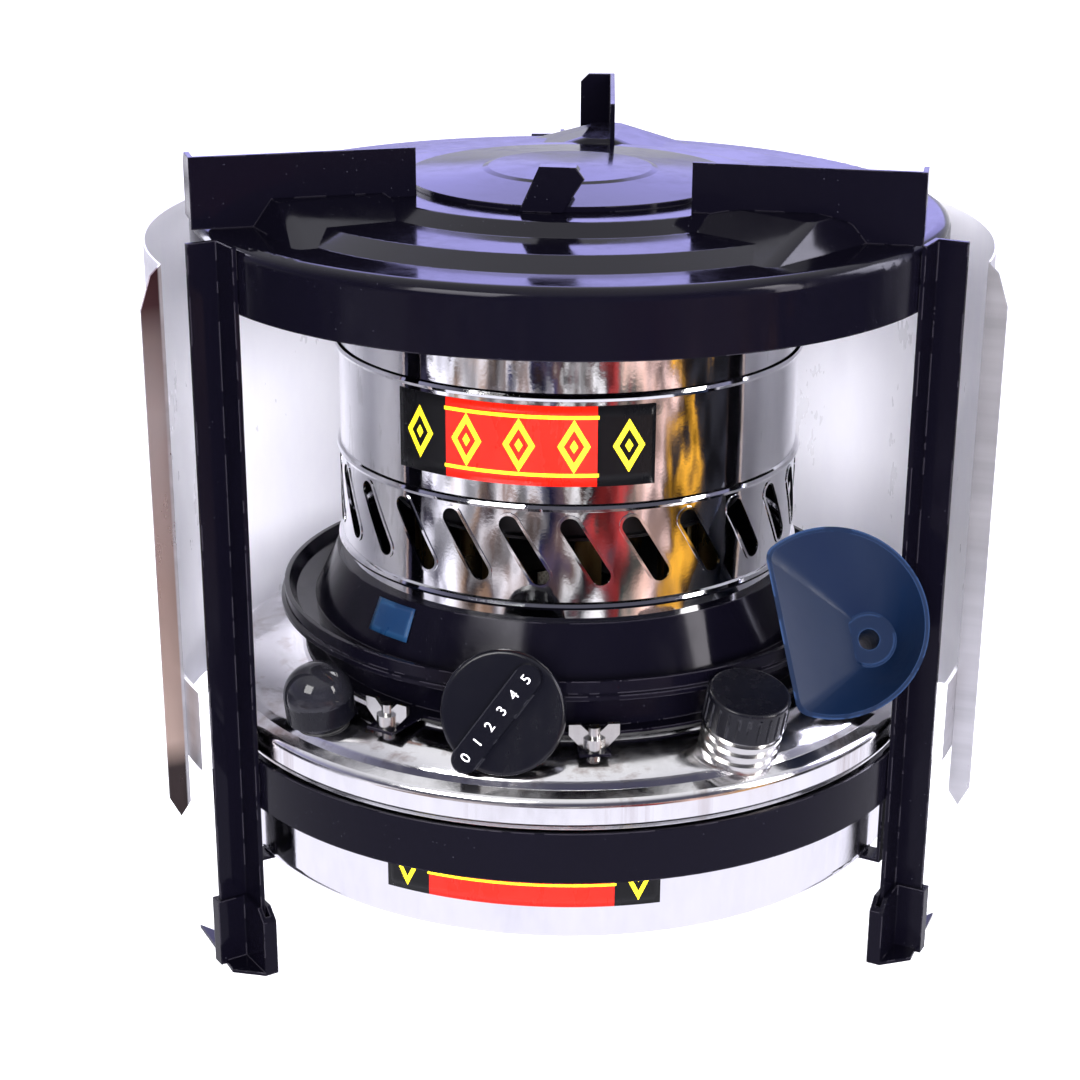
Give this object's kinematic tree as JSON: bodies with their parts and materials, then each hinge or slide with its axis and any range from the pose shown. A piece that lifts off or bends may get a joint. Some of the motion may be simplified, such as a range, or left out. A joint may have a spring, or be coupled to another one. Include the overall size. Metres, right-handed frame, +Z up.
{
  "type": "kerosene stove",
  "caption": "Round free-standing kerosene wick stove: fuel tank in a three-legged frame, burner drum, top plate with pan supports, lid, wind shield and funnel.",
  "frame": {"origin": "on the floor the three feet stand on, under the middle of the stove's footprint, 7.5 mm behind the burner's axis", "axes": "+Z up, the knob side faces -Y, the rear leg is on +Y; metres, Z up"},
  "size_m": [0.28, 0.265, 0.2705],
  "materials": {
    "black_enamel": "gloss stove enamel",
    "polished_steel": "polished stainless sheet",
    "plated_steel": "bright plated",
    "burner_steel": "plain pressed steel",
    "brass": "turned",
    "wick_cotton": "braided cotton",
    "seal_rubber": "matt",
    "black_plastic": "moulded",
    "gauge_window": "smoked clear",
    "signal_paint": "painted",
    "float_plastic": "closed cell",
    "navy_plastic": "moulded"
  },
  "bodies": {
    "stove": {"top_plate": "black_enamel", "pan_support_left": "black_enamel", "pan_support_right": "black_enamel", "pan_support_rear": "black_enamel", "leg_left": "black_enamel", "leg_right": "black_enamel", "leg_rear": "black_enamel", "foot_left": "black_enamel", "foot_right": "black_enamel", "foot_rear": "black_enamel", "lower_band": "black_enamel", "tank_rest_left": "black_enamel", "tank_rest_right": "black_enamel", "tank_rest_rear": "black_enamel", "burner_neck": "black_enamel", "burner_bowl": "black_enamel", "wind_shield": "polished_steel", "shield_clips": "polished_steel", "tank_lower_shell": "polished_steel", "tank_upper_shell": "polished_steel", "burner_drum": "polished_steel", "shield_rivets": "plated_steel", "clamp_studs": "plated_steel", "wing_nuts": "plated_steel", "filler_neck": "plated_steel", "wick_plate": "burner_steel", "gallery_plate": "burner_steel", "outer_flame_tube": "burner_steel", "inner_flame_tube": "burner_steel", "flame_spreader": "burner_steel", "wick_tubes": "brass", "shaft_bush": "brass", "gauge_seal": "seal_rubber", "burner_gasket": "seal_rubber", "gauge_body": "black_plastic", "gauge_lens": "gauge_window"},
    "knob": {"knob": "black_plastic", "knob_screw": "plated_steel", "wick_shaft": "plated_steel", "pinion": "brass"},
    "wick_set": {"wicks": "wick_cotton", "wick_carrier": "burner_steel", "wick_rack": "burner_steel"},
    "cap_seal": {"filler_seal": "seal_rubber"},
    "cap": {"filler_cap": "black_plastic"},
    "float": {"gauge_float": "float_plastic", "float_arm": "plated_steel"},
    "pointer": {"gauge_pointer": "signal_paint"},
    "lid": {"lid": "black_enamel", "lid_handle": "black_enamel", "lid_rivet": "black_enamel"},
    "funnel": {"funnel": "navy_plastic"}
  },
  "joints": [
    {"name": "knob_turn", "type": "hinge", "parent": "stove", "child": "knob", "pos_m": [-0.02598, -0.12004, 0.1125], "axis": [0.2139, 0.9267, -0.309], "range_deg": [0, 130]},
    {"name": "wick_lift", "type": "slide", "parent": "stove", "child": "wick_set", "axis": [0, 0, 1], "range_m": [0, 0.0095]},
    {"name": "cap_rise", "type": "slide", "parent": "stove", "child": "cap_seal", "axis": [0.1175, -0.2306, 0.9659], "range_m": [0, 0.00624]},
    {"name": "cap_turn", "type": "hinge", "parent": "cap_seal", "child": "cap", "pos_m": [0.04948, -0.10462, 0.09147], "axis": [0.1175, -0.2306, 0.9659], "range_deg": [0, 900]},
    {"name": "float_swing", "type": "hinge", "parent": "stove", "child": "float", "pos_m": [-0.0814, -0.07826, 0.07962], "axis": [0.6561, -0.7547, 0], "range_deg": [-25, 12]},
    {"name": "pointer_turn", "type": "hinge", "parent": "stove", "child": "pointer", "pos_m": [-0.08264, -0.07934, 0.0915], "axis": [-0.1037, -0.0902, 0.9905], "range_deg": [-76, 37]},
    {"name": "lid_lift", "type": "slide", "parent": "stove", "child": "lid", "axis": [0, 0, 1], "range_m": [0, 0.06]},
    {"name": "funnel_lift", "type": "slide", "parent": "stove", "child": "funnel", "axis": [-0.0453, -0.8648, 0.5], "range_m": [0, 0.08]}
  ],
  "couplings": [
    {"joint": "knob_turn", "follows": "wick_lift", "rad_per_m": 237.76},
    {"joint": "cap_turn", "follows": "cap_rise", "rad_per_m": 2513.3},
    {"joint": "pointer_turn", "follows": "float_swing", "ratio": 3}
  ]
}
